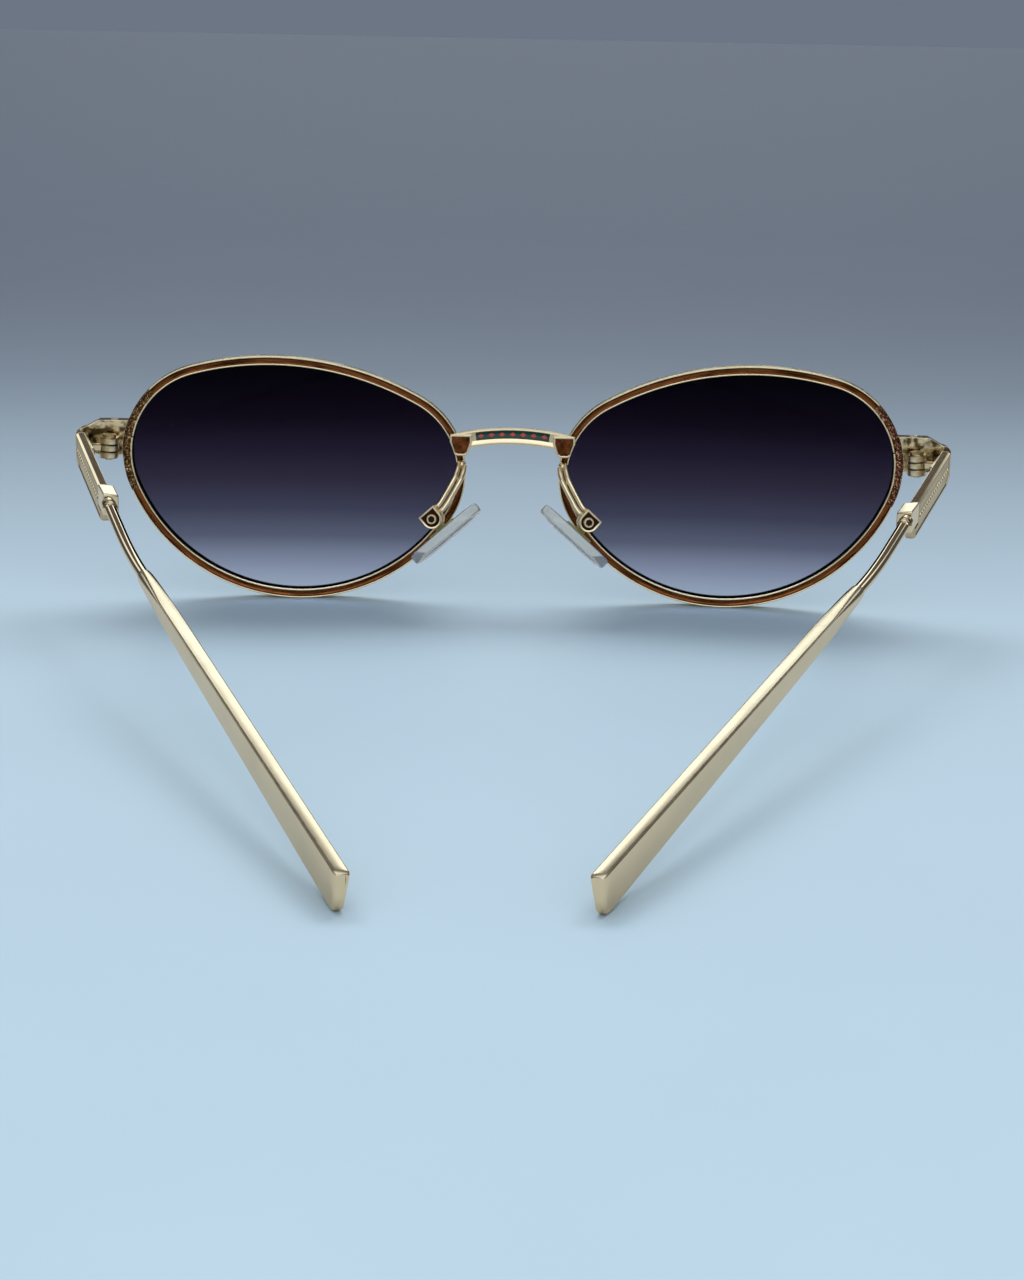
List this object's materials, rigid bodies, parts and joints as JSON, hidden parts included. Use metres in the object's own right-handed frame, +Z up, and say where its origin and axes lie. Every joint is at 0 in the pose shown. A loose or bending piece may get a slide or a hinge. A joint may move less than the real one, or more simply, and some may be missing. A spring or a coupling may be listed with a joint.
{
  "type": "oval sunglasses",
  "caption": "Oval metal-rimmed sunglasses with gradient lenses, an arched bridge, folding temples with squared tips, and nose pads that swivel on arms.",
  "frame": {"origin": "on the floor under the middle of the whole pair as it stands, halfway between the two endpieces and halfway from the front of the lenses to the temple tips", "axes": "+Z up, -Y out of the front of the lenses, +Y to the temple tips, +X to the wearer's left"},
  "size_m": [0.14, 0.1419, 0.0396],
  "materials": {
    "gold_frame": "polished pale gold plate",
    "gold_temple": "polished pale gold plate",
    "screw_gold": "plated, slotted heads",
    "lens_tint": "grey-violet tint, darker at the top",
    "enamel": "glossy cold enamel",
    "silicone": "clear silicone",
    "pad_core": "clear yellowed plastic"
  },
  "bodies": {
    "front": {"rim_left": "gold_frame", "rim_right": "gold_frame", "lens_left": "lens_tint", "lens_right": "lens_tint", "bridge": "gold_frame", "bridge_inlay": "enamel", "endpiece_left": "gold_frame", "endpiece_right": "gold_frame", "lock_upper_left": "gold_frame", "lock_upper_right": "gold_frame", "lock_lower_left": "gold_frame", "lock_lower_right": "gold_frame", "lock_screws": "screw_gold", "hinge_front_left": "gold_frame", "hinge_front_right": "gold_frame", "hinge_screws": "screw_gold", "pad_arm_left": "gold_frame", "pad_arm_right": "gold_frame", "pad_box_left": "gold_frame", "pad_box_right": "gold_frame", "pad_screws": "screw_gold"},
    "temple_left": {"hinge_temple_left": "gold_frame", "temple_plate_left": "gold_temple", "ferrule_left": "gold_temple", "temple_rod_left": "gold_temple", "temple_sleeve_left": "gold_temple"},
    "temple_right": {"hinge_temple_right": "gold_frame", "temple_plate_right": "gold_temple", "ferrule_right": "gold_temple", "temple_rod_right": "gold_temple", "temple_sleeve_right": "gold_temple"},
    "nose_pad_left": {"pad_mount_left": "pad_core", "nose_pad_left": "silicone"},
    "nose_pad_right": {"pad_mount_right": "pad_core", "nose_pad_right": "silicone"}
  },
  "joints": [
    {"name": "temple_left_hinge", "type": "hinge", "parent": "front", "child": "temple_left", "pos_m": [0.0644, -0.0634, 0.0251], "axis": [-0.0698, 0, 0.9976], "range_deg": [-22, 64]},
    {"name": "temple_right_hinge", "type": "hinge", "parent": "front", "child": "temple_right", "pos_m": [-0.0644, -0.0634, 0.0251], "axis": [-0.0698, 0, -0.9976], "range_deg": [-23, 58.5]},
    {"name": "nose_pad_left_swivel", "type": "hinge", "parent": "front", "child": "nose_pad_left", "pos_m": [0.0123, -0.06176, 0.015], "axis": [0.1277, 0.9816, 0.1418], "range_deg": [-10, 10]},
    {"name": "nose_pad_right_swivel", "type": "hinge", "parent": "front", "child": "nose_pad_right", "pos_m": [-0.0123, -0.06176, 0.015], "axis": [-0.1277, 0.9816, 0.1418], "range_deg": [-10, 10]}
  ]
}
